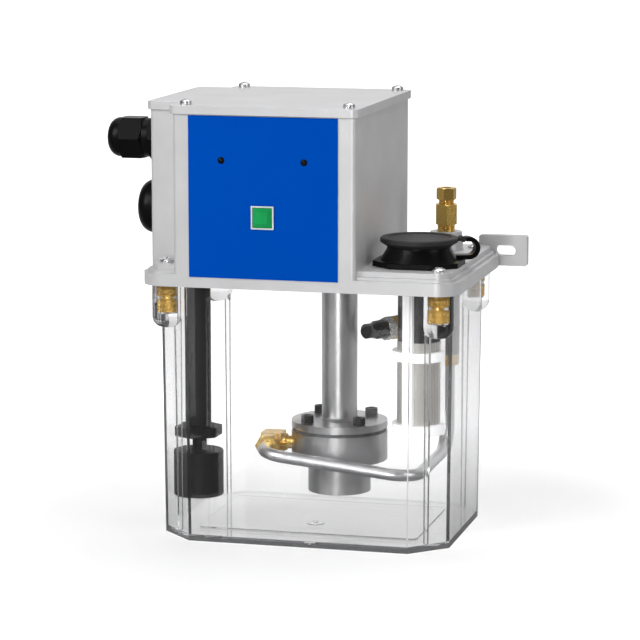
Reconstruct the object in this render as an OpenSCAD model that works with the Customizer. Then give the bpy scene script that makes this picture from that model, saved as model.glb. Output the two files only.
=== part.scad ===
// Electric oil lubrication pump: a clear oil tank under a die-cast housing, with a
// motor-driven gear pump, a level switch, a filler with its strainer and an oil outlet.
// Millimetres, Z up, front towards -Y, origin at the centre of the tank's flat base.

/* [Tank] */
// Width of the tank at its base
tank_w = 195; // [185:1:215]
// Depth of the tank at its base
tank_d = 140; // [134:1:160]
// Height of the tank, up to the seat of the housing
tank_h = 171; // [165:1:200]
// Leg of the corner chamfer
tank_chamfer = 23; // [18:0.5:26]
// How far each wall leans out over the height
tank_draft = 1.5; // [0.5:0.1:2]
// Thickness of the walls
tank_wall = 3.2; // [2:0.1:4]
// Thickness of the floor
tank_floor = 4; // [3:0.5:8]
// Height of the raised panel inside the floor
floor_panel_h = 1; // [0.5:0.1:2]
// Radius of the corner screw bosses
boss_r = 10.5; // [8:0.5:11]
// Height of the straight part of a boss
boss_h = 22; // [20:1:40]
// How far in the boss axis lies from the side of the tank base
boss_inset_x = 6; // [5:0.5:8]
// How far in the boss axis lies from the front of the tank base
boss_inset_y = 12; // [10:0.5:13]
// Width of the rib inside each chamfer
rib_w = 2.4; // [1.5:0.1:4]
// Outer radius of the threaded inserts
insert_r = 4.5; // [3.6:0.1:6]
// Length of the threaded inserts
insert_h = 19; // [10:1:20]
// Thickness of the gasket between tank and housing
tank_gasket_t = 1.5; // [1:0.1:2.5]

/* [Housing] */
// How far the rim stands out past the tank base at each side
rim_over_x = 9; // [7:0.5:14]
// How far the rim stands out past the tank base at the front
rim_over_front = 4; // [3:0.5:8]
// How far the mounting face lies behind the tank base
rim_over_rear = 10; // [7:0.5:16]
// Corner radius of the rim
rim_r = 15; // [10:1:18]
// Height of the rim band
rim_h = 8.5; // [6:0.5:10]
// Inset of the small step above the rim
step_inset = 3; // [1:0.5:4]
// Height of the small step
step_h = 2; // [1:0.5:3]
// Inset of the deck above the step
deck_inset = 5.5; // [4.5:0.5:7]
// Height of the deck above the step
deck_h = 3.5; // [2:0.5:6]
// Thickness of the deck plate
deck_t = 4.5; // [3:0.5:6]
// Height of the compartment walls above the deck
wall_h = 99; // [90:1:130]
// Thickness of the compartment walls
wall_t = 4; // [3:0.5:5]
// Corner radius of the compartment
wall_r = 2.5; // [2:0.5:6]
// Depth of the side bay for the cable entries
bay_w = 23.7; // [21:0.1:28]
// Distance of the side bay's front edge behind the front of the tank base
bay_front_in = 23; // [21:0.5:24]
// Distance of the side bay's rear edge before the rear of the tank base
bay_rear_in = 3; // [0:0.5:3.5]
// Gap between the compartment and the filler base
wall_to_filler = 3.5; // [1:0.5:8]
// Reach of the mounting ears from the middle
ear_reach = 125; // [122:1:140]
// Thickness of the mounting ears
ear_t = 7; // [5:0.5:8]
// Height of the mounting ears
ear_h = 21; // [16:0.5:26]
// Distance between the two ear slots
ear_spacing = 220; // [214:1:226]
// Width of an ear slot
slot_w = 7; // [5.5:0.5:9]
// Length of an ear slot
slot_l = 14; // [11:0.5:18]

/* [Cover and front] */
// Height of the cover's rim
cover_h = 5.5; // [4:0.5:8]
// Thickness of the cover's top
cover_t = 2.5; // [1.5:0.1:3.5]
// How far the cover stands out past the walls
cover_over = 2; // [1:0.1:3]
// Thickness of the cover gasket
cover_gasket_t = 0.5; // [0.4:0.1:2]
// Width of the front panel
panel_w = 100; // [90:1:105]
// Height of the front panel
panel_h = 105.7; // [96:0.1:107]
// Thickness of the front panel
panel_t = 0.8; // [0.5:0.1:2]
// Distance of the front panel from the right edge of the compartment
panel_inset = 11.5; // [8:0.5:13]
// Gap between the front panel and the cover gasket
panel_gap = 0.2; // [0.1:0.1:3]
// Radius of an indicator
led_r = 2.25; // [1.5:0.05:3]
// Distance between the indicators
led_spacing = 55.5; // [40:0.5:70]
// Distance of the indicators below the top of the walls
led_drop = 29; // [20:1:36]
// Distance of the push button below the indicators
button_drop = 36.5; // [30:0.5:50]
// Width of the button bezel
bezel_w = 15.2; // [14.5:0.1:18]
// Width of the button cap
button_w = 12.8; // [10:0.1:12.9]
// How far the button stands out of its bezel
button_out = 2.4; // [2:0.1:4]
// Travel of the button
button_travel = 2; // [1:0.1:2]

/* [Cable entries] */
// Distance of the entries in front of the middle
entry_y = 20; // [18:0.5:21]
// Distance of the gland below the top of the walls
gland_drop = 21; // [18:0.5:24]
// Width across flats of the gland
gland_af = 27; // [24:0.5:28]
// Radius of the gland thread
gland_thread_r = 10; // [8:0.1:11]
// Length of the gland outside the wall
gland_l = 36.5; // [33:0.5:42]
// Radius of the cable bore
cable_r = 5; // [3:0.1:6]
// Distance of the blanking plug below the gland
plug_drop = 46; // [42:0.5:52]
// Radius of the blanking plug
plug_r = 18; // [17:0.5:20]
// Length of the blanking plug outside the wall
plug_l = 14.5; // [12:0.5:22]

/* [Pump and motor] */
// Distance of the pump axis from the right wall of the compartment
pump_from_wall = 28.5; // [27.5:0.5:36]
// Distance of the pump flange below the tank's rim
pump_drop = 97.4; // [90:0.5:104]
// Outer radius of the stem tube
stem_r = 12; // [11:0.5:13]
// Bore radius of the stem tube
stem_bore_r = 9.5; // [9:0.1:10]
// Radius of the pump flange and body
pump_r = 32.5; // [31:0.5:35]
// Thickness of the pump flange
flange_t = 4.8; // [4:0.2:8]
// Thickness of the flange gasket
flange_gasket_t = 2.3; // [1:0.1:3]
// Height of the pump body
pump_h = 19.7; // [18:0.1:26]
// Radius of the suction nose
nose_r = 21.2; // [19.5:0.1:24]
// Length of the suction nose
nose_h = 21.9; // [15:0.1:23]
// Module of the pump gears
gear_module = 1.5; // [1.3:0.05:1.6]
// Number of teeth on each pump gear
gear_teeth = 12; // [12:1:12]
// Width of the pump gears
gear_w = 11.8; // [8:0.1:12.4]
// Radius of the drive shaft
shaft_r = 4; // [3.5:0.1:4.4]
// Radius of the motor case
motor_r = 20; // [18:0.5:21]
// Height of the motor case
motor_h = 65; // [55:1:80]
// Half width of the motor flange
motor_flange_half = 23; // [22:0.5:24]

/* [Delivery pipe and outlet] */
// Outer radius of the delivery pipe
pipe_r = 4; // [3:0.1:4.4]
// Bore radius of the delivery pipe
pipe_bore_r = 2.5; // [1.5:0.1:2.8]
// Bend radius of the pipe's centre line
pipe_bend_r = 18; // [14:0.5:22]
// Distance of the pipe's front run before the pump axis
pipe_front = 49; // [43:0.5:51]
// Slope of the pipe's front run, down to the right
pipe_slope = 6; // [3:1:8]
// Distance of the outlet axis from the side of the tank base
outlet_inset_x = 23.5; // [22:0.5:28]
// Distance of the outlet axis from the rear of the tank base
outlet_inset_y = 23; // [19:0.5:26]
// Radius of the outlet boss at its top
outlet_boss_r = 10.75; // [9.5:0.25:12]
// Height of the outlet boss above the deck
outlet_boss_h = 12.5; // [9:0.5:16]
// Bore radius of the oil outlet
outlet_bore_r = 3; // [2:0.1:3.4]
// Radius of the column under the outlet
column_r = 7; // [6.5:0.1:7.2]
// Distance of the column's lower end below the tank's rim
column_drop = 58; // [56:0.5:70]
// Distance of the relief valve below the tank's rim
relief_drop = 35; // [32:0.5:40]
// Angle of the relief valve from the left towards the front
relief_angle = 54; // [48:0.5:56]
// Length of the relief valve from the column axis
relief_l = 72.5; // [64:0.5:74]

/* [Level switch] */
// Distance of the level switch from the side of the tank base
level_inset_x = 21; // [20.5:0.5:24]
// Distance of the level switch from the front of the tank base
level_inset_y = 34; // [30:0.5:38]
// Outer radius of the level tube
level_tube_r = 8; // [6.5:0.1:9]
// Distance of the tube's lower end below the tank's rim
level_drop = 99.3; // [92:0.1:104]
// Width across flats of the switch's hexagon
level_hex_af = 27; // [22:0.5:28]
// Height of the switch's hexagon
level_hex_h = 6.7; // [5:0.1:10]
// Radius of the float's stem
level_stem_r = 4.8; // [4:0.1:5.5]
// Radius of the float
float_r = 16; // [14:0.5:17]
// Height of the float
float_h = 30.6; // [24:0.2:34]
// Travel of the float
float_travel = 9; // [6:0.5:12]

/* [Filler] */
// Distance of the filler axis from the side of the tank base
filler_inset_x = 25.5; // [25:0.5:30]
// Distance of the filler axis from the front of the tank base
filler_inset_y = 41; // [39:0.5:44]
// Width of the filler base
filler_base_w = 57; // [54:0.5:60]
// Depth of the filler base
filler_base_d = 54; // [50:0.5:58]
// Thickness of the filler base
filler_base_t = 3.5; // [3:0.5:5]
// Leg of the filler base's corner chamfer
filler_base_cut = 15; // [14.5:0.5:17]
// Radius of the filler neck under the cap
neck_r = 21; // [19:0.5:22]
// Height of the filler neck above the deck
neck_h = 12.8; // [10:0.2:16]
// Outer radius of the throat inside the tank
throat_r = 13.5; // [12.5:0.1:14]
// Distance of the throat's lower end below the tank's rim
throat_drop = 36; // [30:0.5:40]
// Radius of the filler cap
cap_r = 25.5; // [24:0.5:27]
// Thickness of the filler cap
cap_t = 5.4; // [4.5:0.1:7]
// Angle of the cap strap from the right towards the rear
strap_angle = 25; // [20:1:30]
// Distance of the strap's hinge pin from the cap's edge
strap_pin_out = 3.4; // [3:0.2:5]
// Width of the cap strap
strap_w = 8; // [6:0.5:9]
// Thickness of the cap strap
strap_t = 3; // [1.6:0.1:3]
// Wall of the strainer frame
strainer_wall = 3; // [2:0.1:3.2]
// Distance of the strainer's lower end below the tank's rim
strainer_drop = 98; // [94:0.5:104]
// Turn of the strainer about its axis
strainer_turn = 75; // [0:0.5:120]
// Width of a strainer rail
rail_w = 6; // [4:0.5:8]

/* [Fits] */
// Radial clearance of pieces that are screwed or pressed together
seat_gap = 0.05; // [0.02:0.01:0.1]
// Radial clearance of running fits
run_gap = 0.04; // [0.02:0.01:0.08]
// Clearance round pieces that slide freely
slide_gap = 0.2; // [0.15:0.05:0.4]

/* [Hidden] */
$fn = 64;
cut = 1;
root2 = sqrt(2);

tank_x = tank_w / 2;
tank_y = tank_d / 2;
screw_x = tank_x - boss_inset_x;
screw_y = tank_y - boss_inset_y;
gate_r = 6;
gate_y = -20;
gate_h = 0.5;
lid_screw_r = 2.5;
lid_head_r = 4.75;
lid_head_h = 3;

rim_x = tank_x + rim_over_x;
rim_front = -tank_y - rim_over_front;
rim_rear = tank_y + rim_over_rear;
step_z = tank_h + rim_h;
deck_z = step_z + step_h + deck_h;
ceiling_z = deck_z - deck_t;
wall_z = deck_z + wall_h;
cover_z = wall_z + cover_gasket_t;
cover_top = cover_z + cover_h;

filler_x = tank_x - filler_inset_x;
filler_y = -(tank_y - filler_inset_y);
main_right = filler_x - filler_base_w / 2 - wall_to_filler;
bay_in = 0.4;
bay_left = -(rim_x - bay_in);
main_left = bay_left + bay_w;
bay_front = tank_y - bay_front_in;
bay_rear = tank_y - bay_rear_in;
cover_screw_r = 2;
cover_head_r = 3.9;
cover_head_h = 3.6;
cover_screw_in = 6.5;
cover_screw_front = 9.5;
cover_screw_l = 14;
post_r = 6;
cover_screw_at = [for (x = [main_left + cover_screw_in, main_right - cover_screw_in],
                       y = [rim_front + cover_screw_front, rim_rear - cover_screw_in]) [x, y]];

panel_x1 = main_right - panel_inset;
panel_x0 = panel_x1 - panel_w;
panel_z1 = wall_z - panel_gap;
panel_face = rim_front - panel_t;
button_x = (panel_x0 + panel_x1) / 2;
led_z = wall_z - led_drop;
button_z = led_z - button_drop;
bezel_t = 1.2;
sleeve_t = 0.7;
sleeve_w = button_w + 2 * slide_gap + 2 * sleeve_t;
sleeve_end = rim_front + wall_t + 8;
button_stem_w = 6;
board_face = sleeve_end + 17;
board_t = 1.6;
board_in = cover_screw_in + post_r - 2;
board_x0 = main_left + board_in;
board_x1 = main_right - board_in;
board_z0 = deck_z + 8;
board_z1 = wall_z - 10;
standoff_in = 6;
standoff_r = 3;

gland_z = wall_z - gland_drop;
gland_nut_at = 11.5;
gland_skirt = 3.9;
plug_z = gland_z - plug_drop;
plug_thread_r = plug_r - 2.5;
locknut_h = 5;

pump_x = main_right - pump_from_wall;
pump_y = 0;
flange_z = tank_h - pump_drop;
body_top = flange_z - flange_t - flange_gasket_t;
body_bottom = body_top - pump_h;
nose_bottom = body_bottom - nose_h;
flange_screw_r = 2.5;
flange_pcd = 2 * (pump_r - 7.25);
flange_head_r = 4.25;
flange_head_h = 5;
gear_pitch_r = gear_module * gear_teeth / 2;
gear_tip_r = gear_pitch_r + gear_module;
gear_root_r = gear_pitch_r - 1.25 * gear_module;
gear_pressure = 25;
gear_base_r = gear_pitch_r * cos(gear_pressure);
gear_backlash = 0.2;
gear_steps = 5;
idler_y = pump_y - 2 * gear_pitch_r;
idler_pin_r = 3;
chamber_z = body_top - gear_w - slide_gap;
port_y = pump_y - gear_pitch_r;
port_r = 4.4;
port_z = body_bottom + 10.7;
bush_r = shaft_r + 2.5;
bush_h = 15;
seal_h = 6;
coupling_h = 34;
coupling_top = tank_h + 3;
stem_head_t = 4;
motor_flange_t = 6;
motor_top = deck_z + motor_flange_t + motor_h;
motor_screw_at = motor_flange_half - 4.5;
motor_screw_r = 2;
bearing_r = shaft_r + 5;
bearing_h = 6;

elbow_w = 14;
elbow_x = pump_x - pump_r - 4.5 - elbow_w / 2;
elbow_stub = 2;
pipe_nut_r = 6;
pipe_nut_af = 14;
elbow_nut_h = 9;
pipe_nut_h = 7.7;
pipe_grip = 4;

outlet_x = tank_x - outlet_inset_x;
outlet_y = tank_y - outlet_inset_y;
outlet_boss_top = deck_z + outlet_boss_h;
outlet_boss_flare = 1.1;
outlet_seat_h = 8;
outlet_thread_r = 5.7;
outlet_thread_l = 7.5;
outlet_hex_z = outlet_boss_top + 4.6;
outlet_hex_h = 14;
outlet_hex_af = 14;
outlet_hex_turn = -15.5;
outlet_stub_r = 5;
outlet_stub_h = 9;
outlet_nut_h = 8.1;
outlet_nut_af = 12;
outlet_nut_turn = 25;
spigot_r = 5;
column_bottom = tank_h - column_drop;
relief_z = tank_h - relief_drop;
relief_cap_l = 17;
relief_nut_h = 6.2;
relief_hex_af = 14;
relief_hex_h = 8;
relief_stem_r = 3.5;
relief_root_r = 4.5;
relief_cap_at = relief_l - relief_cap_l;
relief_nut_at = relief_cap_at - relief_nut_h;
pipe_low_z = port_z - tan(pipe_slope) * (outlet_x - elbow_x);
pipe_points = [[elbow_x, port_y - pipe_grip, port_z],
               [elbow_x, pump_y - pipe_front, port_z],
               [outlet_x, pump_y - pipe_front, pipe_low_z],
               [outlet_x, outlet_y, pipe_low_z],
               [outlet_x, outlet_y, column_bottom]];

level_x = -(tank_x - level_inset_x);
level_y = -(tank_y - level_inset_y);
level_tube_z = tank_h - level_drop;
level_hex_z = level_tube_z - level_hex_h;
level_spigot_r = 4;
level_hex_turn = 27.5;
float_top = level_hex_z - float_travel - 0.8;
float_z = float_top - float_h;
float_well_r = 8.5;
float_well_h = 4;
clip_h = 2;

neck_top = deck_z + neck_h;
throat_bore_r = throat_r - 2;
throat_z = tank_h - throat_drop;
cap_z = neck_top + slide_gap;
cap_top = cap_z + cap_t;
cap_plug_r = neck_r - 7;
strap_pin_at = cap_r + strap_pin_out;
strap_pin_z = cap_top - 2;
strap_pin_r = 1;
strap_eye_r = 1.9;
strap_eye_w = strap_w / 2;
strap_low_z = deck_z + filler_base_t + strap_t / 2 - 0.5;
strap_loop_r = (strap_pin_z - strap_low_z) / 2;
strap_loop_at = strap_pin_at + 4;
strainer_r = throat_r + 0.5 + strainer_wall;
strainer_bore_r = strainer_r - strainer_wall;
strainer_z = tank_h - strainer_drop;
strainer_cup_h = 7;
strainer_cup_t = 2;
strainer_ring_h = 6.4;
strainer_ring_z = throat_z - 2 * strainer_ring_h;
strainer_head_z = tank_h - 1;
strainer_head_h = 4;
strainer_rails = 3;

// Vector helpers for the bent pipe
function unit(v) = v / norm(v);
function bend_angle(p, i) = acos(unit(p[i] - p[i - 1]) * unit(p[i + 1] - p[i]));
function bend_trim(p, i, r) = i == 0 || i == len(p) - 1 ? 0 : r * tan(bend_angle(p, i) / 2);
function bend_inward(p, i) =
    let (a = unit(p[i] - p[i - 1]), b = unit(p[i + 1] - p[i])) unit(b - (a * b) * a);
function bend_twist(p, i) =
    i == len(p) - 2 ? 0 :
    let (a = unit(p[i] - p[i - 1]), b = unit(p[i + 1] - p[i]), t = bend_angle(p, i),
         now = bend_inward(p, i) * cos(t) - a * sin(t), next = bend_inward(p, i + 1))
    atan2(cross(now, next) * b, now * next);
function tank_half_x(z) = tank_x + tank_draft * z / tank_h;
function tank_half_y(z) = tank_y + tank_draft * z / tank_h;

// Rectangle with round corners, between two corners
module rounded_rect(x0, x1, y0, y1, r) {
    translate([x0 + r, y0]) square([x1 - x0 - 2 * r, y1 - y0]);
    translate([x0, y0 + r]) square([x1 - x0, y1 - y0 - 2 * r]);
    for (x = [x0 + r, x1 - r], y = [y0 + r, y1 - r]) translate([x, y]) circle(r);
}

// Rectangle with chamfered corners, by its half sizes
function cut_points(hx, hy, c) =
    [[hx - c, -hy], [hx, c - hy], [hx, hy - c], [hx - c, hy],
     [c - hx, hy], [-hx, hy - c], [-hx, c - hy], [c - hx, -hy]];
module cut_rect(hx, hy, c) {
    polygon(cut_points(hx, hy, c));
}

// Round bar with a bore
module ring(r, bore, h) {
    difference() {
        cylinder(r = r, h = h);
        translate([0, 0, -cut]) cylinder(r = bore, h = h + 2 * cut);
    }
}

// Round bar whose far end has a rounded edge
module round_end(r, l, round_r) {
    rotate_extrude() {
        square([r - round_r, l]);
        square([r, l - round_r]);
        translate([r - round_r, l - round_r]) intersection() {
            circle(round_r);
            square(round_r);
        }
    }
}

// Hexagon bar whose corners are turned off at both ends
module hex_bar(af, h) {
    corner = af / sqrt(3);
    turned = corner - af / 2;
    intersection() {
        cylinder(r = corner, h = h, $fn = 6);
        rotate_extrude()
            polygon([[0, 0], [af / 2, 0], [corner, turned / root2], [corner, h - turned / root2],
                     [af / 2, h], [0, h]]);
    }
}

// Hexagon nut with a bore, and a narrower lip at its far end
module hex_nut(af, h, bore, lip_bore, lip_h) {
    difference() {
        hex_bar(af, h);
        translate([0, 0, -cut]) cylinder(r = bore, h = h - lip_h + cut);
        translate([0, 0, -cut]) cylinder(r = lip_bore, h = h + 2 * cut);
    }
}

// Socket cap screw, seated at z = 0 with its shank downwards
module socket_screw(shank_r, shank_l, head_r, head_h, socket_af) {
    difference() {
        union() {
            cylinder(r = head_r, h = head_h);
            translate([0, 0, -shank_l]) cylinder(r = shank_r, h = shank_l + cut);
        }
        translate([0, 0, head_h / 2]) cylinder(r = socket_af / sqrt(3), h = head_h, $fn = 6);
    }
}

// Pan head screw with a cross recess, seated at z = 0 with its shank downwards
module pan_screw(shank_r, shank_l, head_r, head_h) {
    slot_l = head_r * 1.1;
    slot_w = head_r * 0.28;
    difference() {
        union() {
            intersection() {
                cylinder(r = head_r, h = head_h);
                translate([0, 0, head_h - head_r * 1.6]) sphere(r = head_r * 1.6);
            }
            translate([0, 0, -shank_l]) cylinder(r = shank_r, h = shank_l + head_h / 4);
        }
        for (a = [0, 90])
            rotate(a) translate([-slot_l / 2, -slot_w / 2, head_h / 2]) cube([slot_l, slot_w, head_h]);
    }
}

// Round section pipe along straight runs and circular bends, its first run towards -Y.
// Each run and bend is placed in the frame of the one before: Z along the pipe, X into the bend.
module bent_pipe(p, bend_r, r, bore) {
    first = bend_inward(p, 1);
    translate(p[0]) rotate([90, 0, 0]) rotate(atan2(first[2], first[0])) pipe_from(p, 0, bend_r, r, bore);
}
module pipe_from(p, i, bend_r, r, bore) {
    run = norm(p[i + 1] - p[i]) - bend_trim(p, i, bend_r) - bend_trim(p, i + 1, bend_r);
    ring(r, bore, run);
    if (i < len(p) - 2) {
        t = bend_angle(p, i + 1);
        translate([bend_r, 0, run]) {
            rotate([90, 0, 0]) rotate(180 - t) rotate_extrude(angle = t) translate([bend_r, 0]) difference() {
                circle(r);
                circle(bore);
            }
            rotate([0, t, 0]) translate([-bend_r, 0, 0]) rotate(bend_twist(p, i + 1))
                pipe_from(p, i + 1, bend_r, r, bore);
        }
    }
}

// Involute spur gear outline
function involute(t) = [gear_base_r * (cos(t) + t * PI / 180 * sin(t)),
                        gear_base_r * (sin(t) - t * PI / 180 * cos(t))];
function turned(p, a) = [p[0] * cos(a) - p[1] * sin(a), p[0] * sin(a) + p[1] * cos(a)];
function roll_at(r) = sqrt(pow(r / gear_base_r, 2) - 1) * 180 / PI;
function gear_tooth(a) =
    let (pitch_point = involute(roll_at(gear_pitch_r)),
         half = 90 / gear_teeth - gear_backlash / 2 / gear_pitch_r * 180 / PI,
         lead = atan2(pitch_point[1], pitch_point[0]) + half,
         tip_roll = roll_at(gear_tip_r),
         flank = [for (i = [0 : gear_steps]) turned(involute(tip_roll * i / gear_steps), -lead)])
    concat([turned([gear_root_r, 0], a - lead)],
           [for (q = flank) turned(q, a)],
           [for (i = [gear_steps : -1 : 0]) turned([flank[i][0], -flank[i][1]], a)],
           [turned([gear_root_r, 0], a + lead)]);
module gear(a, bore) {
    difference() {
        linear_extrude(gear_w)
            polygon([for (k = [0 : gear_teeth - 1]) each gear_tooth(a + k * 360 / gear_teeth)]);
        translate([0, 0, -cut]) cylinder(r = bore, h = gear_w + 2 * cut);
    }
}

// Outlines that several pieces share
module tank_outline(z, inset) {
    cut_rect(tank_half_x(z) - inset, tank_half_y(z) - inset, tank_chamfer - inset * (2 - root2));
}
module rim_outline(inset) {
    rounded_rect(-rim_x + inset, rim_x - inset, rim_front + inset, rim_rear - inset, rim_r - inset);
}
module wall_outline(grow) {
    r = max(wall_r + grow, 0.5);
    rounded_rect(main_left - grow, main_right + grow, rim_front - grow, rim_rear + grow, r);
    rounded_rect(bay_left - grow, main_left + 3 * wall_r, -bay_front - grow, bay_rear + grow, r);
}
module at_lid_screws() {
    for (x = [-screw_x, screw_x], y = [-screw_y, screw_y]) translate([x, y, 0]) children();
}
module at_pump(z) {
    translate([pump_x, pump_y, z]) children();
}
module at_flange_screws() {
    for (a = [45 : 90 : 315]) rotate(a) translate([flange_pcd / 2, 0, 0]) children();
}
module at_motor_screws() {
    for (x = [-motor_screw_at, motor_screw_at], y = [-motor_screw_at, motor_screw_at])
        at_pump(0) translate([x, y, 0]) children();
}
module at_filler(z) {
    translate([filler_x, filler_y, z]) children();
}
module at_outlet(z) {
    translate([outlet_x, outlet_y, z]) children();
}
module at_level(z) {
    translate([level_x, level_y, z]) children();
}
module along_relief(d) {
    at_outlet(relief_z) rotate(180 + relief_angle) translate([d, 0, 0]) rotate([0, 90, 0]) children();
}
module at_entry(z, out) {
    translate([bay_left - out, -entry_y, z]) rotate([0, -90, 0]) children();
}
module facing_front(x, y, z) {
    translate([x, y, z]) rotate([90, 0, 0]) children();
}

// Clear moulded tank
function tank_points(z, inset) =
    [for (q = cut_points(tank_half_x(z) - inset, tank_half_y(z) - inset, tank_chamfer - inset * (2 - root2)))
        [q[0], q[1], z]];
module tank_block(z0, z1, inset) {
    n = 8;
    polyhedron(concat(tank_points(z0, inset), tank_points(z1, inset)),
               concat([[for (i = [0 : n - 1]) i]], [[for (i = [n - 1 : -1 : 0]) n + i]],
                      [for (i = [0 : n - 1]) [i, n + i, n + (i + 1) % n, (i + 1) % n]]));
}
module tank_boss() {
    round_r = 0.7 * boss_r;
    translate([0, 0, tank_h]) rotate([180, 0, 0]) round_end(boss_r, boss_h + round_r, round_r);
}
module chamfer_ribs() {
    mid_x = tank_x - tank_chamfer / 2;
    mid_y = tank_y - tank_chamfer / 2;
    depth = tank_wall + 2.6;
    for (sx = [-1, 1], sy = [-1, 1])
        translate([sx * mid_x, sy * mid_y, 0]) rotate(atan2(sy, sx))
            translate([-depth, -rib_w / 2, tank_floor / 2]) cube([depth - 0.5, rib_w, tank_h - boss_h - tank_floor]);
}
module tank() {
    color("aliceblue", 0.4) difference() {
        union() {
            difference() {
                tank_block(0, tank_h, 0);
                tank_block(tank_floor, tank_h + cut, tank_wall);
            }
            at_lid_screws() tank_boss();
            chamfer_ribs();
            translate([0, 0, tank_floor - cut]) linear_extrude(floor_panel_h + cut)
                rounded_rect(-tank_x + tank_chamfer, tank_x - tank_chamfer,
                             -tank_y + tank_chamfer, tank_y - tank_chamfer, 4);
            translate([0, gate_y, tank_floor]) {
                cylinder(r = gate_r, h = floor_panel_h + gate_h);
                cylinder(r = gate_r / 4, h = floor_panel_h + 3 * gate_h);
            }
        }
        at_lid_screws() translate([0, 0, tank_h - insert_h - cut]) cylinder(r = insert_r + seat_gap, h = insert_h + 2 * cut);
    }
}
module tank_inserts() {
    groove = 0.6;
    color("goldenrod") at_lid_screws() translate([0, 0, tank_h - insert_h]) difference() {
        cylinder(r = insert_r, h = insert_h);
        translate([0, 0, -cut]) cylinder(r = lid_screw_r + seat_gap, h = insert_h + 2 * cut);
        translate([0, 0, insert_h / 2 - groove]) ring(insert_r + cut, insert_r - groove, 2 * groove);
    }
}
module gasket_outline(clear) {
    difference() {
        tank_outline(tank_h, -clear);
        tank_outline(tank_h, tank_wall + clear);
    }
}
module tank_gasket() {
    color("dimgray") translate([0, 0, tank_h]) linear_extrude(tank_gasket_t) difference() {
        gasket_outline(0);
        for (x = [-screw_x, screw_x], y = [-screw_y, screw_y])
            translate([x, y]) circle(lid_screw_r + 4 * seat_gap);
    }
}

// Die-cast housing: rim, deck and compartment walls in one piece
module ear_plate() {
    root_x = rim_x - rim_r;
    ear_corner = 1.5;
    for (s = [0, 1]) mirror([s, 0, 0]) translate([0, rim_rear, 0]) rotate([90, 0, 0]) linear_extrude(ear_t)
        difference() {
            rounded_rect(root_x, ear_reach, tank_h, tank_h + ear_h, ear_corner);
            translate([ear_spacing / 2, tank_h + ear_h / 2]) slot_outline();
        }
}
module slot_outline() {
    reach = (slot_l - slot_w) / 2;
    square([2 * reach, slot_w], center = true);
    for (x = [-reach, reach]) translate([x, 0]) circle(slot_w / 2);
}
module housing_shell() {
    translate([0, 0, tank_h]) linear_extrude(rim_h) rim_outline(0);
    translate([0, 0, tank_h]) linear_extrude(rim_h + step_h) rim_outline(step_inset);
    translate([0, 0, tank_h]) linear_extrude(deck_z - tank_h) rim_outline(deck_inset);
    translate([0, 0, tank_h]) linear_extrude(wall_z - tank_h) wall_outline(0);
    ear_plate();
}
module cover_posts() {
    for (p = cover_screw_at) translate([p[0], p[1], deck_z - cut])
        cylinder(r = post_r, h = wall_z - deck_z + cut);
}
module housing_holes() {
    up = deck_z - tank_h + 2 * cut;
    translate([0, 0, tank_h - cut]) linear_extrude(ceiling_z - tank_h + cut) tank_outline(tank_h, tank_wall + 3);
    translate([0, 0, tank_h - cut]) linear_extrude(tank_gasket_t + cut) gasket_outline(seat_gap);
    at_lid_screws() translate([0, 0, tank_h - cut]) cylinder(r = lid_screw_r + slide_gap, h = up);
    for (p = cover_screw_at) translate([p[0], p[1], wall_z - cover_screw_l])
        cylinder(r = cover_screw_r + seat_gap, h = cover_screw_l + cut);
    at_pump(tank_h) cylinder(r = stem_bore_r, h = up);
    at_motor_screws() translate([0, 0, tank_h]) cylinder(r = motor_screw_r + slide_gap, h = up);
    at_level(tank_h) cylinder(r = level_spigot_r + seat_gap, h = up);
    at_filler(tank_h) cylinder(r = throat_r + seat_gap, h = up);
    at_outlet(tank_h) cylinder(r = spigot_r + seat_gap, h = up);
    for (s = [-1, 1]) facing_front(button_x + s * led_spacing / 2, rim_front + wall_t + cut, led_z)
        cylinder(r = led_r + seat_gap, h = wall_t + 2 * cut);
    facing_front(button_x, rim_front + wall_t + cut, button_z)
        translate([0, 0, wall_t / 2 + cut])
            cube([sleeve_w + 2 * seat_gap, sleeve_w + 2 * seat_gap, wall_t + 2 * cut], center = true);
    at_entry(gland_z, -wall_t - cut) cylinder(r = gland_thread_r + seat_gap, h = wall_t + 2 * cut);
    at_entry(plug_z, -wall_t - cut) cylinder(r = plug_thread_r + seat_gap, h = wall_t + 2 * cut);
}
module housing() {
    color("silver") difference() {
        union() {
            difference() {
                housing_shell();
                translate([0, 0, deck_z]) linear_extrude(wall_h + cut) wall_outline(-wall_t);
            }
            cover_posts();
        }
        housing_holes();
    }
}
module lid_screws() {
    color("silver") at_lid_screws() translate([0, 0, deck_z])
        pan_screw(lid_screw_r, deck_z - tank_h + insert_h - 2, lid_head_r, lid_head_h);
}

// Cover of the compartment
module cover_plate() {
    color("silver") translate([0, 0, cover_z]) difference() {
        linear_extrude(cover_h) wall_outline(cover_over);
        difference() {
            translate([0, 0, -cut]) linear_extrude(cover_h - cover_t + cut) wall_outline(-wall_t);
            for (p = cover_screw_at) translate([p[0], p[1], -cut]) cylinder(r = post_r, h = cover_h);
        }
        for (p = cover_screw_at) translate([p[0], p[1], -cut])
            cylinder(r = cover_screw_r + slide_gap, h = cover_h + 2 * cut);
    }
}
module cover_gasket() {
    color("dimgray") translate([0, 0, wall_z]) linear_extrude(cover_gasket_t) difference() {
        union() {
            difference() {
                wall_outline(0);
                wall_outline(-wall_t);
            }
            for (p = cover_screw_at) translate(p) circle(post_r);
        }
        for (p = cover_screw_at) translate(p) circle(cover_screw_r + slide_gap);
    }
}
module cover_screws() {
    color("gainsboro") for (p = cover_screw_at) translate([p[0], p[1], cover_top])
        pan_screw(cover_screw_r, cover_h + cover_gasket_t + cover_screw_l - 2, cover_head_r, cover_head_h);
}

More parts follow.
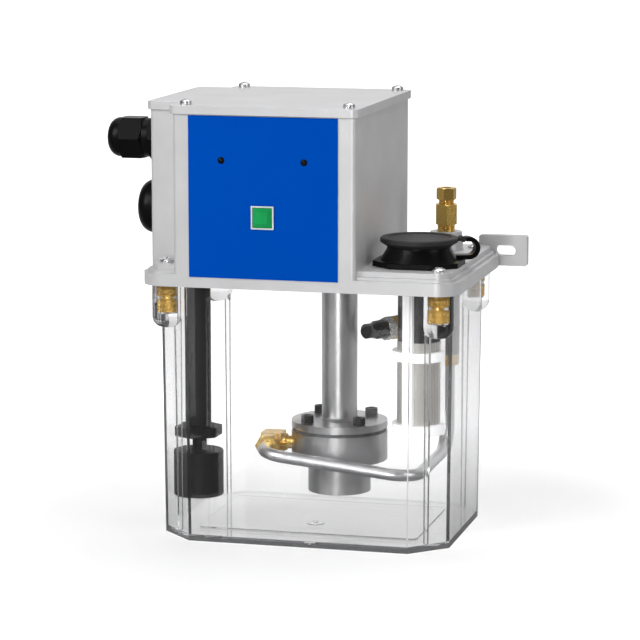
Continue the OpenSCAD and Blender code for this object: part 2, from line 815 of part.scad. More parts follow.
// Front panel with its indicators and push button
module front_panel() {
    color("royalblue") facing_front(0, rim_front, 0) linear_extrude(panel_t) difference() {
        translate([panel_x0, panel_z1 - panel_h]) square([panel_w, panel_h]);
        for (s = [-1, 1]) translate([button_x + s * led_spacing / 2, led_z]) circle(led_r + seat_gap);
        translate([button_x, button_z]) square(sleeve_w + 2 * seat_gap, center = true);
    }
}
module indicators() {
    body_l = panel_t + wall_t + 3;
    color("black") for (s = [-1, 1]) facing_front(button_x + s * led_spacing / 2, panel_face + body_l, led_z) {
        cylinder(r = led_r, h = body_l);
        intersection() {
            translate([0, 0, body_l - led_r]) sphere(r = led_r * root2);
            translate([0, 0, body_l]) cylinder(r = led_r, h = led_r);
        }
    }
}
module button_bezel() {
    depth = sleeve_end - panel_face;
    color("gainsboro") facing_front(button_x, sleeve_end, button_z) difference() {
        union() {
            translate([0, 0, depth / 2]) cube([sleeve_w, sleeve_w, depth], center = true);
            translate([0, 0, depth + bezel_t / 2]) cube([bezel_w, bezel_w, bezel_t], center = true);
        }
        translate([0, 0, depth / 2])
            cube([button_w + 2 * slide_gap, button_w + 2 * slide_gap, depth + 2 * bezel_t + 2 * cut], center = true);
    }
}
module button_cap() {
    base = sleeve_end - 4;
    rise = base - panel_face + bezel_t;
    color("limegreen") facing_front(button_x, base, button_z) {
        translate([0, 0, rise / 2]) cube([button_w, button_w, rise], center = true);
        translate([0, 0, rise]) linear_extrude(button_out, scale = 0.55) square(button_w, center = true);
        translate([0, 0, -5]) cylinder(r = button_stem_w / 2, h = 5 + cut);
    }
}
module button_switch() {
    color("dimgray") facing_front(button_x, board_face, button_z) difference() {
        translate([0, 0, (board_face - sleeve_end) / 2])
            cube([sleeve_w, sleeve_w, board_face - sleeve_end], center = true);
        translate([0, 0, 8]) cylinder(r = button_stem_w / 2 + slide_gap, h = board_face - sleeve_end);
    }
}
module control_board() {
    color("darkgreen") facing_front(0, board_face + board_t, 0) linear_extrude(board_t) difference() {
        translate([board_x0, board_z0]) square([board_x1 - board_x0, board_z1 - board_z0]);
        at_standoffs() circle(1.2);
    }
}
module at_standoffs() {
    for (x = [board_x0 + standoff_in, board_x1 - standoff_in], z = [board_z0 + standoff_in, board_z1 - standoff_in])
        translate([x, z]) children();
}
module terminal_block() {
    ways = 6;
    pitch = 8;
    depth = 10;
    height = 14;
    color("seagreen") facing_front(button_x - ways * pitch / 2, board_face + board_t + depth, board_z0 + 14) difference() {
        cube([ways * pitch, height, depth]);
        for (i = [0 : ways - 1]) translate([(i + 0.5) * pitch, height / 2, -cut]) cylinder(r = 2.4, h = depth / 2 + cut);
    }
}
module board_standoffs() {
    color("gainsboro") facing_front(0, board_face, 0) linear_extrude(board_face - rim_front - wall_t)
        at_standoffs() circle(standoff_r);
}

// Motor and the shaft line down to the pump
module motor_case() {
    shell = 2;
    end_t = 8;
    color("slategray") at_pump(deck_z) difference() {
        union() {
            translate([0, 0, motor_flange_t / 2])
                cube([2 * motor_flange_half, 2 * motor_flange_half, motor_flange_t], center = true);
            cylinder(r = motor_r, h = motor_top - deck_z);
        }
        translate([0, 0, motor_flange_t + 2]) cylinder(r = motor_r - shell, h = motor_h - end_t - 2);
        translate([0, 0, motor_flange_t + 2 - bearing_h]) cylinder(r = bearing_r + seat_gap, h = bearing_h + cut);
        translate([0, 0, motor_flange_t + motor_h - end_t - cut]) cylinder(r = bearing_r + seat_gap, h = bearing_h + cut);
        translate([0, 0, -cut]) cylinder(r = shaft_r + 1, h = motor_flange_t);
        for (x = [-motor_screw_at, motor_screw_at], y = [-motor_screw_at, motor_screw_at])
            translate([x, y, -cut]) cylinder(r = motor_screw_r + slide_gap, h = motor_flange_t + 2 * cut);
    }
}
module motor_stator() {
    color("peru") at_pump(deck_z + motor_flange_t + 8) ring(motor_r - 2 - seat_gap, motor_r - 7.5, motor_h - 24);
}
module motor_bearings() {
    color("silver") for (z = [motor_flange_t + 2 - bearing_h, motor_flange_t + motor_h - 8])
        at_pump(deck_z + z) ring(bearing_r, shaft_r + run_gap, bearing_h);
}
module motor_rotor() {
    low = coupling_top - coupling_h / 2 + 1;
    color("gray") {
        at_pump(low) cylinder(r = shaft_r, h = deck_z + motor_flange_t + motor_h - 3 - low);
        at_pump(deck_z + motor_flange_t + 10) cylinder(r = motor_r - 8, h = motor_h - 28);
    }
}
module motor_screws() {
    color("gainsboro") at_motor_screws() translate([0, 0, deck_z + motor_flange_t])
        socket_screw(motor_screw_r, motor_flange_t + deck_t + stem_head_t - 1, 3.5, 4, 3);
}
module shaft_coupling() {
    r = stem_bore_r - 1;
    color("lightsteelblue") at_pump(coupling_top - coupling_h) difference() {
        cylinder(r = r, h = coupling_h);
        translate([0, 0, -cut]) cylinder(r = shaft_r + seat_gap / 2, h = coupling_h + 2 * cut);
        for (z = [coupling_h / 4, coupling_h * 3 / 4]) translate([0, 0, z]) rotate([0, 90, 0]) cylinder(r = 1.6, h = r + cut);
    }
}
module drive_shaft() {
    top = coupling_top - coupling_h / 2 - 1;
    low = chamber_z - 6;
    color("lightgray") at_pump(low) cylinder(r = shaft_r, h = top - low);
}
module shaft_bush() {
    color("darkgoldenrod") at_pump(flange_z - flange_t) ring(bush_r, shaft_r + run_gap, bush_h);
}
module shaft_seal() {
    color("dimgray") at_pump(flange_z - flange_t + bush_h + 1) ring(stem_bore_r - seat_gap, shaft_r + run_gap, seal_h);
}

// Gear pump on its stem
module stem_tube() {
    weld = 2;
    color("silver") difference() {
        union() {
            at_pump(flange_z - flange_t) cylinder(r = pump_r, h = flange_t);
            at_pump(flange_z) cylinder(r1 = stem_r + weld, r2 = stem_r, h = weld);
            at_pump(flange_z) cylinder(r = stem_r, h = ceiling_z - flange_z);
            at_pump(ceiling_z - stem_head_t / 2)
                cube([2 * motor_flange_half, 2 * motor_flange_half, stem_head_t], center = true);
        }
        at_pump(flange_z - flange_t + bush_h) cylinder(r = stem_bore_r, h = ceiling_z);
        at_pump(flange_z - flange_t - cut) cylinder(r = bush_r + seat_gap, h = bush_h + 2 * cut);
        at_pump(flange_z - flange_t - cut) at_flange_screws() cylinder(r = flange_screw_r + slide_gap, h = flange_t + 2 * cut);
        at_motor_screws() translate([0, 0, ceiling_z - stem_head_t - cut])
            cylinder(r = motor_screw_r + seat_gap, h = stem_head_t + 2 * cut);
    }
}
module flange_gasket() {
    color("dimgray") at_pump(body_top) difference() {
        ring(pump_r - 1, shaft_r + slide_gap, flange_gasket_t);
        translate([0, 0, -cut]) at_flange_screws() cylinder(r = flange_screw_r + slide_gap, h = flange_gasket_t + 2 * cut);
    }
}
module flange_screws() {
    color("black") at_pump(flange_z) at_flange_screws()
        socket_screw(flange_screw_r, flange_t + flange_gasket_t + 13, flange_head_r, flange_head_h, 4);
}
module pump_body() {
    nose_bore = nose_r - 4;
    suction_r = 3.4;
    chamber_r = gear_tip_r + 0.75 * slide_gap;
    color("silver") difference() {
        union() {
            at_pump(body_bottom) cylinder(r = pump_r, h = pump_h);
            at_pump(nose_bottom) cylinder(r = nose_r, h = nose_h + cut);
        }
        for (y = [pump_y, idler_y]) translate([pump_x, y, chamber_z]) cylinder(r = chamber_r, h = pump_h);
        at_pump(chamber_z - 7) cylinder(r = shaft_r + run_gap, h = 7 + cut);
        translate([pump_x, idler_y, chamber_z - 6]) cylinder(r = idler_pin_r + seat_gap / 2, h = 6 + cut);
        at_pump(body_top - 15) at_flange_screws() cylinder(r = flange_screw_r + seat_gap, h = 15 + cut);
        at_pump(nose_bottom - cut) cylinder(r = nose_bore, h = nose_h - 2 + cut);
        translate([pump_x + gear_pitch_r - 1.5, port_y, nose_bottom]) cylinder(r = suction_r, h = chamber_z - nose_bottom + gear_w);
        translate([pump_x - gear_tip_r + 2, port_y, port_z]) rotate([0, -90, 0]) cylinder(r = pipe_bore_r, h = pump_r);
        translate([pump_x - pump_r + 8, port_y, port_z]) rotate([0, -90, 0]) cylinder(r = port_r + seat_gap, h = pump_r);
    }
}
module drive_gear() {
    color("darkgray") at_pump(chamber_z + slide_gap / 2) gear(-90, shaft_r + seat_gap / 2);
}
module idler_gear() {
    color("darkgray") translate([pump_x, idler_y, chamber_z + slide_gap / 2]) gear(90 + 180 / gear_teeth, idler_pin_r + run_gap);
}
module idler_pin() {
    color("lightgray") translate([pump_x, idler_y, chamber_z - 6]) cylinder(r = idler_pin_r, h = body_top - chamber_z + 6);
}
module suction_screen() {
    r = nose_r - 4 - seat_gap;
    hole_r = 1.3;
    pitch = 4.2;
    color("lightgray") at_pump(nose_bottom + 0.5) difference() {
        cylinder(r = r, h = 4);
        translate([0, 0, 1]) cylinder(r = r - 1.5, h = 4);
        for (i = [-3 : 3], j = [-3 : 3]) if (norm([i, j]) * pitch < r - 2.5 - hole_r)
            translate([i * pitch, j * pitch, -cut]) cylinder(r = hole_r, h = 2 + cut);
    }
}

// Delivery line from the pump to the outlet
module elbow_fitting() {
    half = elbow_w / 2;
    color("goldenrod") difference() {
        union() {
            translate([elbow_x, port_y, port_z]) cube(elbow_w, center = true);
            translate([elbow_x, port_y, port_z]) rotate([0, 90, 0])
                cylinder(r = port_r, h = pump_x - pump_r + 7 - elbow_x);
            translate([elbow_x, port_y, port_z]) rotate([0, 90, 0])
                cylinder(r = port_r + 1.4, h = half + 2.6);
            facing_front(elbow_x, port_y, port_z) cylinder(r = pipe_nut_r, h = half + elbow_stub + elbow_nut_h - 3);
        }
        translate([elbow_x - pipe_bore_r, port_y, port_z]) rotate([0, 90, 0]) cylinder(r = pipe_bore_r, h = pump_r);
        facing_front(elbow_x, port_y, port_z) cylinder(r = pipe_bore_r, h = pump_r);
        facing_front(elbow_x, port_y - pipe_grip, port_z) cylinder(r = pipe_r + seat_gap, h = pump_r);
    }
}
module elbow_nut() {
    color("gold") facing_front(elbow_x, port_y - elbow_w / 2 - elbow_stub, port_z)
        hex_nut(pipe_nut_af, elbow_nut_h, pipe_nut_r + seat_gap, pipe_r + seat_gap, 2.5);
}
module delivery_pipe() {
    color("lightsteelblue") bent_pipe(pipe_points, pipe_bend_r, pipe_r, pipe_bore_r);
}
module pipe_nut() {
    color("gold") at_outlet(column_bottom) rotate([180, 0, 0])
        hex_nut(pipe_nut_af - 2, pipe_nut_h, spigot_r + seat_gap, pipe_r + seat_gap, 1.5);
}
module outlet_column() {
    stub = 6;
    color("slategray") difference() {
        union() {
            at_outlet(column_bottom) cylinder(r = column_r, h = ceiling_z - column_bottom);
            at_outlet(column_bottom - stub) cylinder(r = spigot_r, h = stub + cut);
            at_outlet(ceiling_z - cut) cylinder(r = spigot_r, h = outlet_boss_top - outlet_seat_h - ceiling_z);
        }
        at_outlet(column_bottom - stub - cut) cylinder(r = pipe_r + seat_gap, h = stub + cut);
        at_outlet(column_bottom - cut) cylinder(r = pipe_bore_r, h = outlet_boss_top);
        along_relief(0) cylinder(r = relief_root_r + seat_gap, h = column_r + cut);
    }
}
module outlet_boss() {
    color("silver") at_outlet(deck_z) difference() {
        cylinder(r1 = outlet_boss_r + outlet_boss_flare, r2 = outlet_boss_r, h = outlet_boss_h);
        translate([0, 0, -cut]) cylinder(r = spigot_r + seat_gap, h = outlet_boss_h + 2 * cut);
        translate([0, 0, outlet_boss_h - outlet_seat_h])
            cylinder(r = outlet_thread_r + seat_gap, h = outlet_seat_h + cut);
    }
}
module outlet_fitting() {
    low = outlet_boss_top - outlet_thread_l;
    stub_z = outlet_hex_z + outlet_hex_h;
    color("goldenrod") difference() {
        union() {
            at_outlet(low) cylinder(r = outlet_thread_r, h = outlet_hex_z - low + cut);
            at_outlet(outlet_hex_z) rotate(outlet_hex_turn) hex_bar(outlet_hex_af, outlet_hex_h);
            at_outlet(stub_z - cut) cylinder(r = outlet_stub_r, h = outlet_stub_h + cut);
        }
        at_outlet(low - cut) cylinder(r = outlet_bore_r, h = stub_z + outlet_stub_h - low + 2 * cut);
    }
}
module outlet_nut() {
    lip = 1.9;
    color("gold") at_outlet(outlet_hex_z + outlet_hex_h + outlet_stub_h - outlet_nut_h + lip + 0.1)
        rotate(outlet_nut_turn) hex_nut(outlet_nut_af, outlet_nut_h, outlet_stub_r + seat_gap, outlet_bore_r + seat_gap, lip);
}
module relief_body() {
    hex_at = relief_nut_at - relief_hex_h;
    root_at = column_r + 1;
    color("goldenrod") {
        along_relief(pipe_bore_r + 0.5) cylinder(r = relief_root_r, h = column_r - pipe_bore_r + 1.5);
        along_relief(root_at) cylinder(r = 0.45 * relief_hex_af, h = hex_at - root_at);
        along_relief(hex_at) hex_bar(relief_hex_af, relief_hex_h);
        along_relief(relief_nut_at - cut) cylinder(r = relief_stem_r, h = relief_nut_h + 6 + cut);
    }
}
module relief_locknut() {
    r = relief_stem_r + seat_gap;
    color("gainsboro") along_relief(relief_nut_at) hex_nut(relief_hex_af, relief_nut_h, r, r, 1);
}
module relief_cap() {
    wide = 6.2;
    slim = 5;
    edge = 1;
    waist = relief_cap_l * 0.45;
    color("black") along_relief(relief_cap_at) difference() {
        rotate_extrude() polygon([[0, 0], [wide, 0], [wide, waist], [slim, waist + edge],
                                  [slim, relief_cap_l - edge], [slim - edge, relief_cap_l], [0, relief_cap_l]]);
        translate([0, 0, -cut]) cylinder(r = relief_stem_r + seat_gap, h = 6.5 + cut);
        for (a = [0 : 60 : 300]) rotate(a) translate([wide + 1.5, 0, -cut]) cylinder(r = 2.2, h = waist + 2 * cut);
    }
}

// Level switch with its float
module level_tube() {
    color("black") difference() {
        union() {
            at_level(level_tube_z) cylinder(r = level_tube_r, h = ceiling_z - level_tube_z);
            at_level(ceiling_z - 4) cylinder(r = level_tube_r + 3.5, h = 4);
            at_level(ceiling_z - cut) cylinder(r = level_spigot_r, h = deck_t + locknut_h + 3 + cut);
        }
        at_level(level_tube_z - cut) cylinder(r = level_stem_r + seat_gap, h = ceiling_z - 5 - level_tube_z);
        at_level(level_tube_z) cylinder(r = level_spigot_r - 1.5, h = deck_z);
    }
}
module level_locknut() {
    r = level_spigot_r + seat_gap;
    color("dimgray") at_level(deck_z) hex_nut(2 * level_spigot_r + 3, locknut_h, r, r, 1);
}
module level_hex() {
    r = level_stem_r + seat_gap;
    color("black") at_level(level_hex_z) rotate(level_hex_turn) difference() {
        cylinder(r = level_hex_af / sqrt(3), h = level_hex_h, $fn = 6);
        translate([0, 0, -cut]) cylinder(r = r, h = level_hex_h + 2 * cut);
    }
}
module level_stem() {
    low = float_z + 0.4;
    color("dimgray") at_level(low) cylinder(r = level_stem_r, h = level_tube_z + 12 - low);
}
module level_float() {
    color("black") at_level(float_z) difference() {
        ring(float_r, level_stem_r + 0.5, float_h);
        translate([0, 0, -cut]) cylinder(r = float_well_r, h = float_well_h + cut);
    }
}
module float_clip() {
    color("gainsboro") at_level(float_z + float_well_h - clip_h - 0.3) ring(float_well_r - 1, level_stem_r + seat_gap, clip_h);
}

// Filler with its cap and strainer
module strap_side(w) {
    rotate(strap_angle) rotate([90, 0, 0]) linear_extrude(w, center = true) children();
}
module cap_strap() {
    strap_side(strap_w) {
        translate([neck_r, strap_low_z - strap_t / 2]) square([strap_loop_at - neck_r, strap_t]);
        translate([strap_pin_at + strap_eye_r + slide_gap, strap_pin_z - strap_t / 2])
            square([strap_loop_at - strap_pin_at - strap_eye_r - slide_gap, strap_t]);
        translate([strap_loop_at, strap_low_z + strap_loop_r]) intersection() {
            difference() {
                circle(strap_loop_r + strap_t / 2);
                circle(strap_loop_r - strap_t / 2);
            }
            translate([0, -cap_r]) square([cap_r, 2 * cap_r]);
        }
    }
    strap_side(strap_eye_w) difference() {
        union() {
            translate([strap_pin_at, strap_pin_z]) circle(strap_eye_r);
            translate([strap_pin_at, strap_pin_z - strap_t / 2 + slide_gap])
                square([strap_loop_at - strap_pin_at - cut, strap_t - 2 * slide_gap]);
        }
        translate([strap_pin_at, strap_pin_z]) circle(strap_pin_r + slide_gap / 2);
    }
}
module filler_neck() {
    cone_r = neck_r + 4.5;
    lip = 1.8;
    color("black") difference() {
        union() {
            at_filler(deck_z) linear_extrude(filler_base_t)
                cut_rect(filler_base_w / 2, filler_base_d / 2, filler_base_cut);
            at_filler(deck_z + filler_base_t) cylinder(r1 = cone_r, r2 = neck_r, h = neck_h - filler_base_t - lip);
            at_filler(neck_top - lip) cylinder(r = neck_r, h = lip);
            at_filler(throat_z) cylinder(r = throat_r, h = deck_z - throat_z + cut);
            at_filler(0) cap_strap();
        }
        at_filler(throat_z - cut) cylinder(r = throat_bore_r, h = neck_top - throat_z);
        at_filler(deck_z - 2) cylinder(r1 = throat_bore_r - cut, r2 = neck_r - 4, h = neck_h + 2 + cut);
    }
}
module filler_locknut() {
    h = 6;
    color("dimgray") at_filler(ceiling_z - h) difference() {
        ring(throat_r + 5.5, throat_r + seat_gap, h);
        for (a = [0 : 60 : 300]) rotate(a) translate([throat_r + 5.5, 0, -cut]) cylinder(r = 1.5, h = h + 2 * cut);
    }
}
module filler_cap() {
    edge = 0.8;
    taper = 2.4;
    well_r = cap_r - 4;
    knuckle_w = (strap_w - strap_eye_w) / 2 - slide_gap;
    knuckle_at = (strap_w - knuckle_w) / 2;
    color("black") at_filler(0) {
        rotate_extrude() polygon([[0, cap_z - 3.8], [cap_plug_r, cap_z - 3.8], [cap_plug_r + 0.4, cap_z],
                                  [neck_r + 0.8, cap_z], [cap_r, cap_z + taper], [cap_r, cap_top - edge],
                                  [cap_r - edge, cap_top], [well_r, cap_top], [well_r - edge, cap_top - edge],
                                  [0, cap_top - edge]]);
        for (side = [-1, 1]) rotate(strap_angle) translate([0, side * knuckle_at, 0]) rotate([90, 0, 0])
            linear_extrude(knuckle_w, center = true) {
                translate([cap_r - 2, strap_pin_z - cut]) square([strap_pin_out + 2, 2 * cut]);
                translate([strap_pin_at, strap_pin_z]) circle(strap_eye_r);
            }
        strap_side(strap_w - cut) translate([strap_pin_at, strap_pin_z]) circle(strap_pin_r);
    }
}
module strainer_window() {
    half = 180 / strainer_rails;
    reach = 2 * strainer_r;
    side = [reach * cos(half) + rail_w / 2 * sin(half), reach * sin(half) - rail_w / 2 * cos(half)];
    polygon([[rail_w / 2 / sin(half), 0], [side[0], -side[1]], [2 * reach, 0], side]);
}
module strainer_frame() {
    low = strainer_z + strainer_cup_h;
    mid = strainer_ring_z + strainer_ring_h;
    color("white") at_filler(0) rotate(strainer_turn) difference() {
        translate([0, 0, strainer_z]) cylinder(r = strainer_r, h = strainer_head_z + strainer_head_h - strainer_z);
        translate([0, 0, strainer_z + strainer_cup_t]) cylinder(r = strainer_bore_r, h = tank_h);
        for (i = [0 : strainer_rails - 1], span = [[low, strainer_ring_z], [mid, strainer_head_z]])
            rotate(i * 360 / strainer_rails) translate([0, 0, span[0]]) linear_extrude(span[1] - span[0])
                strainer_window();
    }
}
module strainer_mesh() {
    low = strainer_z + strainer_cup_t;
    color("tan") at_filler(low) ring(strainer_bore_r - slide_gap, strainer_bore_r - 0.7, throat_z - slide_gap - low);
}

// Cable gland and blanking plug in the side bay
module gland_body() {
    collar = gland_nut_at - gland_skirt - slide_gap;
    inner = wall_t + locknut_h + 2;
    color("black") at_entry(gland_z, 0) difference() {
        union() {
            translate([0, 0, -inner]) cylinder(r = gland_thread_r, h = inner + cut);
            rotate(30) hex_bar(gland_af, collar);
            cylinder(r = gland_thread_r - 0.5, h = gland_nut_at + 9);
        }
        translate([0, 0, -inner - cut]) cylinder(r = gland_thread_r - 2.6, h = 60);
    }
}
module gland_nut() {
    nut_l = gland_l - gland_nut_at;
    hex_l = nut_l * 0.645;
    dome_r = 7.5;
    thread_r = gland_thread_r - 0.5 + seat_gap;
    mouth_r = cable_r + 1;
    color("black") at_entry(gland_z, gland_nut_at - gland_skirt) difference() {
        union() {
            cylinder(r = gland_af / 2 - 0.5, h = gland_skirt + 0.1);
            translate([0, 0, gland_skirt]) rotate(30) hex_bar(gland_af, hex_l);
            translate([0, 0, gland_skirt + hex_l - cut])
                round_end(gland_af / 2 - 0.3, nut_l - hex_l + cut, dome_r);
        }
        translate([0, 0, -cut]) cylinder(r = thread_r, h = 14);
        translate([0, 0, -cut]) cylinder(r = mouth_r + 1.6, h = gland_skirt + nut_l - 2.5);
        translate([0, 0, -cut]) cylinder(r = mouth_r, h = nut_l + 10);
    }
}
module gland_seal() {
    r = gland_thread_r - 2.6 - seat_gap;
    color("dimgray") at_entry(gland_z, 14) ring(r, cable_r, 14);
}
module blanking_plug() {
    round_r = 9;
    color("black") at_entry(plug_z, 0) {
        round_end(plug_r, plug_l, round_r);
        translate([0, 0, -wall_t - locknut_h - 2]) ring(plug_thread_r, plug_thread_r - 3, wall_t + locknut_h + 2 + cut);
    }
}
module entry_locknuts() {
    lip_h = 1;
    gland_hole = gland_thread_r + seat_gap;
    plug_hole = plug_thread_r + seat_gap;
    color("black") {
        at_entry(gland_z, -wall_t - locknut_h) hex_nut(gland_af + 2, locknut_h, gland_hole, gland_hole, lip_h);
        at_entry(plug_z, -wall_t - locknut_h) hex_nut(2 * plug_r + 1, locknut_h, plug_hole, plug_hole, lip_h);
    }
}

tank();
tank_inserts();
tank_gasket();
housing();
lid_screws();
cover_plate();
cover_gasket();
cover_screws();
front_panel();
indicators();
button_bezel();
button_cap();
button_switch();
control_board();
terminal_block();
board_standoffs();
motor_case();
motor_stator();
motor_bearings();
motor_rotor();
motor_screws();
shaft_coupling();
drive_shaft();
shaft_bush();
shaft_seal();
stem_tube();
flange_gasket();
flange_screws();
pump_body();
drive_gear();
idler_gear();
idler_pin();
suction_screen();
elbow_fitting();
elbow_nut();
delivery_pipe();
pipe_nut();
outlet_column();
outlet_boss();
outlet_fitting();
outlet_nut();
relief_body();
relief_locknut();
relief_cap();
level_tube();
level_locknut();
level_hex();
level_stem();
level_float();
float_clip();
filler_neck();
filler_locknut();
filler_cap();
strainer_frame();
strainer_mesh();
gland_body();
gland_nut();
gland_seal();
blanking_plug();
entry_locknuts();
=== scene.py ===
import math

import bmesh
import bpy
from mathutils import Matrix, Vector


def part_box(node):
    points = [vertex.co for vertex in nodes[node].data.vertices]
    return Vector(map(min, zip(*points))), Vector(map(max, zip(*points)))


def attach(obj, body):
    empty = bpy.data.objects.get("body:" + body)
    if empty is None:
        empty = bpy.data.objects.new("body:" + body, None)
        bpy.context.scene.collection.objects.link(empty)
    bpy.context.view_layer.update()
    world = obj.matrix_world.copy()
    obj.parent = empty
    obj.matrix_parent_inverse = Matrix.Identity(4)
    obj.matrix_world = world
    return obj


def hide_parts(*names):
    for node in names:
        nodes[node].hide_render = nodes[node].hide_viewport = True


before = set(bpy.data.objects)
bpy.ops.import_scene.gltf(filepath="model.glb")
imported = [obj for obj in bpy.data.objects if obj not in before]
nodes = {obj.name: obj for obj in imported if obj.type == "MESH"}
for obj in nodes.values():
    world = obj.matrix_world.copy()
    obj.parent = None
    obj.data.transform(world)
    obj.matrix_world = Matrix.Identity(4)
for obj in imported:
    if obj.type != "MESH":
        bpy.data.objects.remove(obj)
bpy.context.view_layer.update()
scene = bpy.context.scene
MM = 0.001
FULL_TURN = 2 * math.pi

# Stretch of a grain along X, Y and Z
EVEN = (1, 1, 1)
TURNING_MARKS = (1, 1, 14)
WINDINGS = (1, 1, 30)

# Noise that every grain and colour cloud is made from
NOISE_DETAIL = 3.0
NOISE_ROUGHNESS = 0.55
CLOUD_SCALE = 40.0
PLAIN_SHINE = 0.5

# Sockets of a colour mix node
MIX_FACTOR = 0
MIX_FIRST = 6
MIX_SECOND = 7
MIX_RESULT = 2


# Material helpers
def new_material(name):
    mat = bpy.data.materials.new(name)
    mat.use_nodes = True
    tree = mat.node_tree
    tree.nodes.clear()
    out = tree.nodes.new("ShaderNodeOutputMaterial")
    shader = tree.nodes.new("ShaderNodeBsdfPrincipled")
    tree.links.new(shader.outputs[0], out.inputs["Surface"])
    return mat, tree, shader, out


def node(tree, kind, **values):
    made = tree.nodes.new(kind)
    for key, value in values.items():
        setattr(made, key, value)
    return made


def maths(tree, operation, *values):
    """A maths node whose inputs are linked where a socket is given and set where a number is."""
    made = node(tree, "ShaderNodeMath", operation=operation)
    for i, value in enumerate(values):
        if isinstance(value, bpy.types.NodeSocket):
            tree.links.new(value, made.inputs[i])
        else:
            made.inputs[i].default_value = value
    return made.outputs[0]


def coords(tree, scale=EVEN):
    where = node(tree, "ShaderNodeTexCoord")
    mapping = node(tree, "ShaderNodeMapping")
    mapping.inputs["Scale"].default_value = scale
    tree.links.new(where.outputs["Object"], mapping.inputs["Vector"])
    return mapping.outputs["Vector"]


def noise(tree, scale, stretch=EVEN):
    tex = node(tree, "ShaderNodeTexNoise")
    tex.inputs["Scale"].default_value = scale
    tex.inputs["Detail"].default_value = NOISE_DETAIL
    tex.inputs["Roughness"].default_value = NOISE_ROUGHNESS
    tree.links.new(coords(tree, stretch), tex.inputs["Vector"])
    return tex.outputs["Fac"]


def spread(tree, value, low, high, start=0.3, end=0.7):
    """A number that goes from low to high as the value goes from start to end."""
    ramp = node(tree, "ShaderNodeMapRange")
    ramp.inputs["From Min"].default_value = start
    ramp.inputs["From Max"].default_value = end
    ramp.inputs["To Min"].default_value = low
    ramp.inputs["To Max"].default_value = high
    tree.links.new(value, ramp.inputs["Value"])
    return ramp.outputs["Result"]


def tint(tree, value, dark, light, start=0.3, end=0.7):
    """A colour that goes from dark to light as the value goes from start to end."""
    ramp = node(tree, "ShaderNodeValToRGB")
    ramp.color_ramp.elements[0].position = start
    ramp.color_ramp.elements[0].color = (*dark, 1)
    ramp.color_ramp.elements[1].position = end
    ramp.color_ramp.elements[1].color = (*light, 1)
    tree.links.new(value, ramp.inputs["Fac"])
    return ramp.outputs["Color"]


def bump(tree, shader, height, strength, depth_mm):
    made = node(tree, "ShaderNodeBump")
    made.inputs["Strength"].default_value = strength
    made.inputs["Distance"].default_value = depth_mm * MM
    tree.links.new(height, made.inputs["Height"])
    tree.links.new(made.outputs["Normal"], shader.inputs["Normal"])


def surface(name, dark, light, rough, grain, relief=None, metal=0,
            stretch=EVEN, cloud=CLOUD_SCALE, shine=PLAIN_SHINE):
    """Colour clouds, and a fine grain in the roughness and the relief (its strength, and depth in mm)."""
    mat, tree, shader, _ = new_material(name)
    shader.inputs["Metallic"].default_value = metal
    shader.inputs["Specular IOR Level"].default_value = shine
    tree.links.new(tint(tree, noise(tree, cloud), dark, light), shader.inputs["Base Color"])
    fine = noise(tree, grain, stretch)
    tree.links.new(spread(tree, fine, *rough), shader.inputs["Roughness"])
    if relief:
        bump(tree, shader, fine, *relief)
    return mat


def grey(v):
    """A grey with a trace of blue."""
    return (v, v, v * 1.01)


# Castings, plastics and rubbers
cast = surface("cast_aluminium", grey(0.55), grey(0.60), (0.36, 0.46), 1500, (0.06, 0.05), metal=0.35)
black = surface("black_plastic", grey(0.004), grey(0.006), (0.40, 0.5), 900, (0.04, 0.03), shine=0.1)
black_gloss = surface("black_gloss", grey(0.003), grey(0.0045), (0.28, 0.36), 700, (0.02, 0.02), shine=0.11)
rubber = surface("black_rubber", grey(0.004), grey(0.007), (0.48, 0.6), 1400, (0.06, 0.04), shine=0.3)
cap_rubber = surface("cap_rubber", grey(0.016), grey(0.024), (0.5, 0.62), 1400, (0.06, 0.04), shine=0.3)
grey_rubber = surface("grey_rubber", grey(0.03), grey(0.045), (0.6, 0.75), 900, (0.1, 0.04))
pale_rubber = surface("pale_rubber", grey(0.30), grey(0.36), (0.6, 0.75), 900, (0.1, 0.04))
white_plastic = surface(
    "white_plastic", (0.80, 0.80, 0.81), (0.85, 0.85, 0.86), (0.3, 0.42), 700, (0.04, 0.03))
pale = surface("pale_plastic", (0.56, 0.60, 0.57), (0.62, 0.66, 0.62), (0.25, 0.34), 700, (0.05, 0.02))

# Metals
turned = surface(
    "turned_steel", grey(0.52), grey(0.60), (0.27, 0.36), 420, (0.04, 0.03), metal=1, stretch=TURNING_MARKS)
tube = surface("steel_tube", grey(0.74), grey(0.80), (0.30, 0.36), 1500, (0.01, 0.01), metal=1)
zinc = surface("zinc_steel", grey(0.60), grey(0.70), (0.2, 0.3), 600, (0.03, 0.02), metal=1)
dark_steel = surface(
    "dark_steel", grey(0.20), grey(0.26), (0.3, 0.42), 420, (0.05, 0.03), metal=1, stretch=TURNING_MARKS)
black_steel = surface(
    "black_steel", grey(0.006), grey(0.010), (0.34, 0.46), 900, (0.05, 0.03), metal=0.2, shine=0.3)
brass = surface("brass", (0.74, 0.48, 0.12), (0.80, 0.54, 0.16), (0.24, 0.28), 300, metal=0.85)
copper = surface(
    "copper_winding", (0.36, 0.14, 0.05), (0.5, 0.22, 0.09), (0.3, 0.45), 300, (0.4, 0.1),
    metal=0.8, stretch=WINDINGS)

# Coloured pieces
board = surface("circuit_board", (0.01, 0.09, 0.03), (0.016, 0.13, 0.05), (0.3, 0.4), 300, (0.05, 0.02))
blue = surface(
    "blue_panel", (0.0, 0.057, 0.365), (0.0, 0.061, 0.39), (0.5, 0.58), 1200, (0.02, 0.02), cloud=8, shine=0)
green = surface(
    "green_button", (0.006, 0.25, 0.06), (0.012, 0.33, 0.09), (0.12, 0.2), 300, (0.03, 0.02), shine=0.3)

